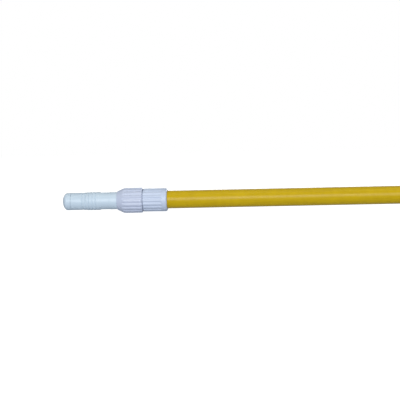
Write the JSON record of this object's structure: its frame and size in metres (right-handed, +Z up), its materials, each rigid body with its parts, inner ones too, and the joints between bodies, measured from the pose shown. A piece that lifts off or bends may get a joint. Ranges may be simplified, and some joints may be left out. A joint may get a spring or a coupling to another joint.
{
  "type": "roller extension pole",
  "caption": "Telescopic pole for a paint roller: ribbed grip on an inner tube, twist-lock collars, long fibreglass outer tube and a threaded tip.",
  "frame": {"origin": "on the pole's axis, on the flat shoulder of the tip that a screwed-on tool bears against", "axes": "+X along the pole, out of the threaded tip; +Z up when the pole lies on a floor; the grip is at -X"},
  "size_m": [1.219, 0.045, 0.0448],
  "materials": {
    "stud_metal": "machined aluminium, satin",
    "tip_plastic": "moulded nylon, satin",
    "ferrule_metal": "rolled aluminium, satin",
    "pin_steel": "zinc-plated steel",
    "bumper_rubber": "moulded rubber, matt",
    "yellow_fibreglass": "pultruded fibreglass, glossy yellow",
    "collar_plastic": "moulded ABS, satin off-white",
    "nut_plastic": "moulded ABS, satin off-white",
    "bearing_plastic": "natural acetal, satin",
    "guide_plastic": "moulded nylon, black",
    "washer_brass": "stamped brass",
    "tube_aluminium": "drawn and anodised, satin",
    "grip_plastic": "moulded polypropylene, satin pale blue-white"
  },
  "bodies": {
    "outer_section": {"threaded_stud": "stud_metal", "tip_adapter": "tip_plastic", "tip_ferrule": "ferrule_metal", "tip_pin": "pin_steel", "stop_bumper": "bumper_rubber", "outer_tube": "yellow_fibreglass", "lock_body": "collar_plastic", "collar_pins": "collar_plastic", "mouth_bush": "bearing_plastic"},
    "clamp_ring": {"compression_collet": "bearing_plastic", "slip_washer": "washer_brass"},
    "nut": {"lock_nut": "nut_plastic"},
    "guide": {"guide_bush": "bearing_plastic"},
    "inner_section": {"inner_tube": "tube_aluminium", "guide_plug": "guide_plastic", "plug_pin": "pin_steel", "retaining_ring": "pin_steel", "grip_sleeve": "grip_plastic", "grip_end_cap": "grip_plastic"}
  },
  "joints": [
    {"name": "telescope", "type": "slide", "parent": "outer_section", "child": "guide", "axis": [-1, 0, 0], "range_m": [0, 0.95]},
    {"name": "inner_turn", "type": "hinge", "parent": "guide", "child": "inner_section", "pos_m": [0, 0, 0], "axis": [-1, 0, 0], "continuous": true},
    {"name": "nut_feed", "type": "slide", "parent": "outer_section", "child": "clamp_ring", "axis": [-1, 0, 0], "range_m": [0, 0.002]},
    {"name": "nut_turn", "type": "hinge", "parent": "clamp_ring", "child": "nut", "pos_m": [0, 0, 0], "axis": [-1, 0, 0], "range_deg": [0, 180]}
  ],
  "couplings": [
    {"joint": "nut_feed", "follows": "nut_turn", "m_per_rad": 0.00063662}
  ]
}
